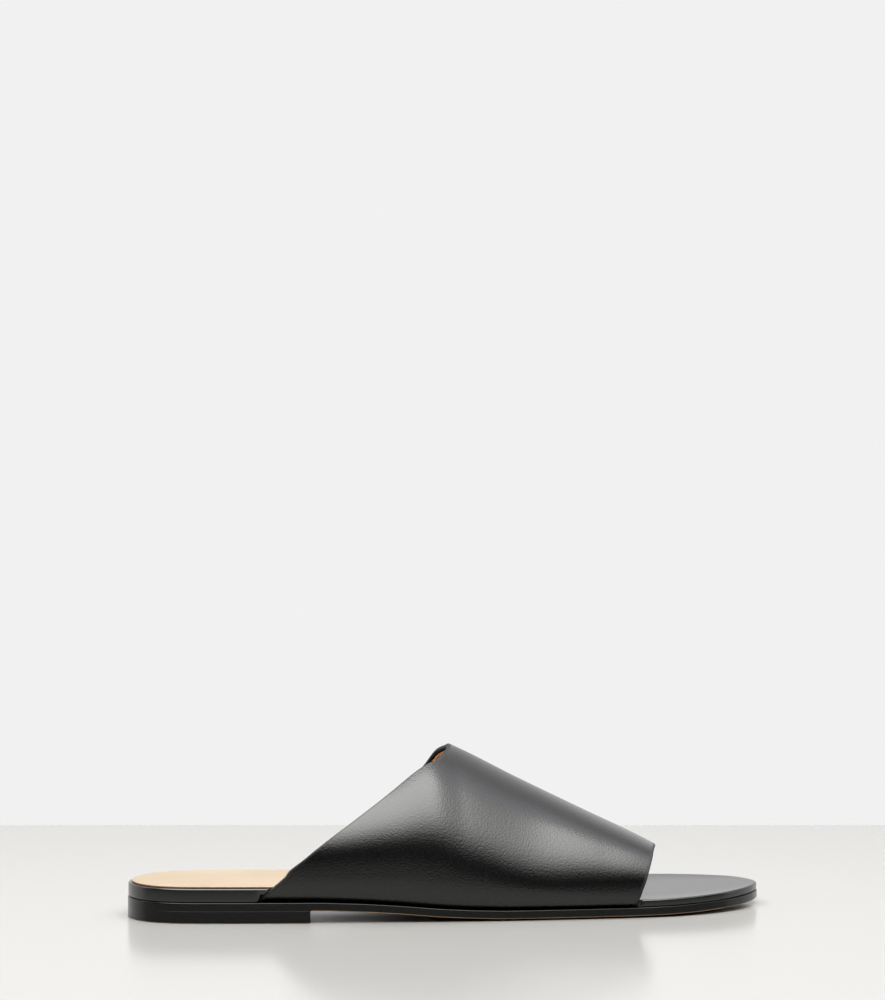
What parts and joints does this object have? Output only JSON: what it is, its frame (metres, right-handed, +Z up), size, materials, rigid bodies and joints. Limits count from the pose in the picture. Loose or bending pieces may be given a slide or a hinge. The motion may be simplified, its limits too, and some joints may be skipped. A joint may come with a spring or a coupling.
{
  "type": "slide sandal",
  "caption": "Right-foot flat leather slide sandal: one-piece open-toe upper on a covered footbed, thin outsole and low heel lift.",
  "frame": {"origin": "on the floor under the middle of the heel seat, in the heel lift's flat underside", "axes": "+X towards the toe, +Y towards the inner (medial) side of the right foot, +Z up"},
  "size_m": [0.25, 0.0885, 0.0644],
  "materials": {
    "sole_leather": "black painted edge, satin",
    "heel_rubber": "black, satin",
    "footbed_leather": "black smooth leather, satin",
    "sock_leather": "natural tan leather, matt",
    "upper_leather": "black smooth leather, satin"
  },
  "bodies": {
    "root": {"outsole": "sole_leather", "heel_lift": "heel_rubber", "footbed": "footbed_leather", "insole_sock": "sock_leather", "upper": "upper_leather"}
  },
  "joints": []
}
